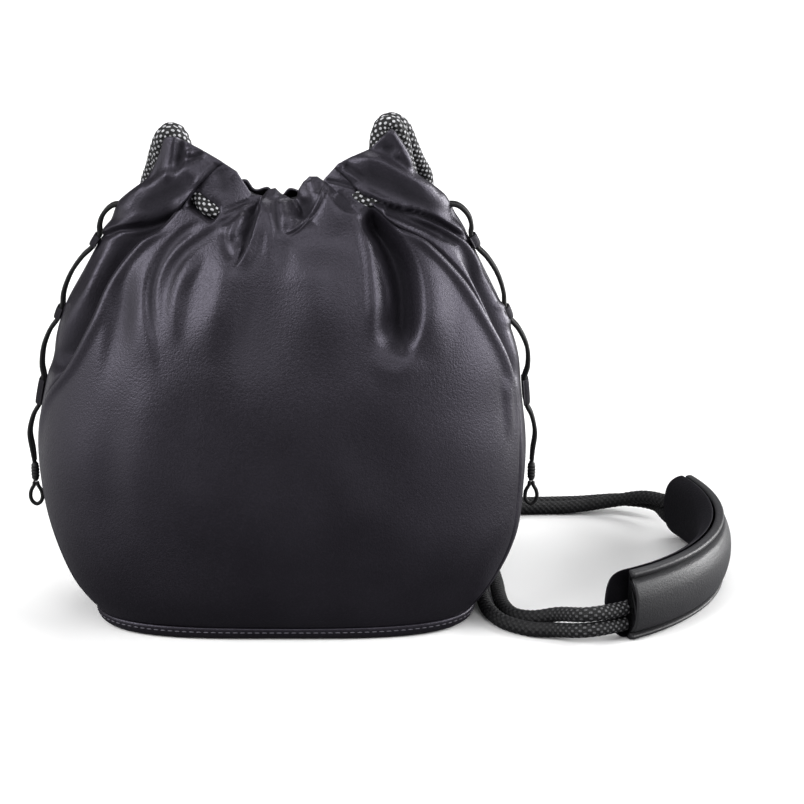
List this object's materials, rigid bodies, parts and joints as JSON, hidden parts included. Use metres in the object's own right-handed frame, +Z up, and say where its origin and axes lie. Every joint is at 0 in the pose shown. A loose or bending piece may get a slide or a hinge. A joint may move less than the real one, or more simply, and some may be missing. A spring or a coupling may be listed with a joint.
{
  "type": "drawstring pouch",
  "caption": "Soft leather drawstring pouch: braided rope gathers the mouth and becomes the shoulder strap, with a curved pad, and elastic cord laces the side gussets.",
  "frame": {"origin": "on the floor under the middle of the bag, without the strap that lies beside it", "axes": "+Z up, front towards -Y, the strap and its pad lie towards +X"},
  "size_m": [0.3603, 0.2092, 0.252],
  "materials": {
    "leather_shell": "smooth fine-grained black leather with a soft satin sheen",
    "leather_trim": "thin black leather, satin",
    "lining_fabric": "matt black woven lining",
    "board": "matt stiffening board",
    "rope": "black braided cord with a checker of white flecks",
    "elastic": "black elastic cord in a woven sheath",
    "cord_stop": "black matt sleeve bound over the cords",
    "pad_leather": "black leather, a little glossier than the bag",
    "pad_lining": "plain black leather lining, satin"
  },
  "bodies": {
    "bag": {"front_panel": "leather_shell", "back_panel": "leather_shell", "left_gusset": "leather_shell", "right_gusset": "leather_shell", "front_tunnel": "leather_trim", "back_tunnel": "leather_trim", "base_panel": "leather_shell", "base_board": "board", "lining": "lining_fabric", "front_drawcord": "rope", "back_drawcord": "rope", "strap_rope_a": "rope", "strap_rope_b": "rope", "left_elastic_front": "elastic", "left_elastic_back": "elastic", "right_elastic_front": "elastic", "right_elastic_back": "elastic", "left_keeper_1": "leather_trim", "left_keeper_2": "leather_trim", "left_keeper_3": "leather_trim", "right_keeper_1": "leather_trim", "right_keeper_2": "leather_trim", "right_keeper_3": "leather_trim", "left_cord_stop": "cord_stop", "right_cord_stop": "cord_stop"},
    "shoulder_pad": {"pad_outer": "pad_leather", "pad_lining": "pad_lining"},
    "left_pull": {"left_pull_loop": "elastic"},
    "right_pull": {"right_pull_loop": "elastic"}
  },
  "joints": [
    {"name": "pad_slide", "type": "hinge", "parent": "bag", "child": "shoulder_pad", "pos_m": [0.112, 0.05, 0.0184], "axis": [0, 0, 1], "range_deg": [-4, 8]},
    {"name": "left_loop_swing", "type": "hinge", "parent": "bag", "child": "left_pull", "pos_m": [-0.12505, 0, 0.0648], "axis": [1, 0, 0], "range_deg": [-60, 60]},
    {"name": "right_loop_swing", "type": "hinge", "parent": "bag", "child": "right_pull", "pos_m": [0.12535, 0, 0.065], "axis": [1, 0, 0], "range_deg": [-60, 60]}
  ]
}
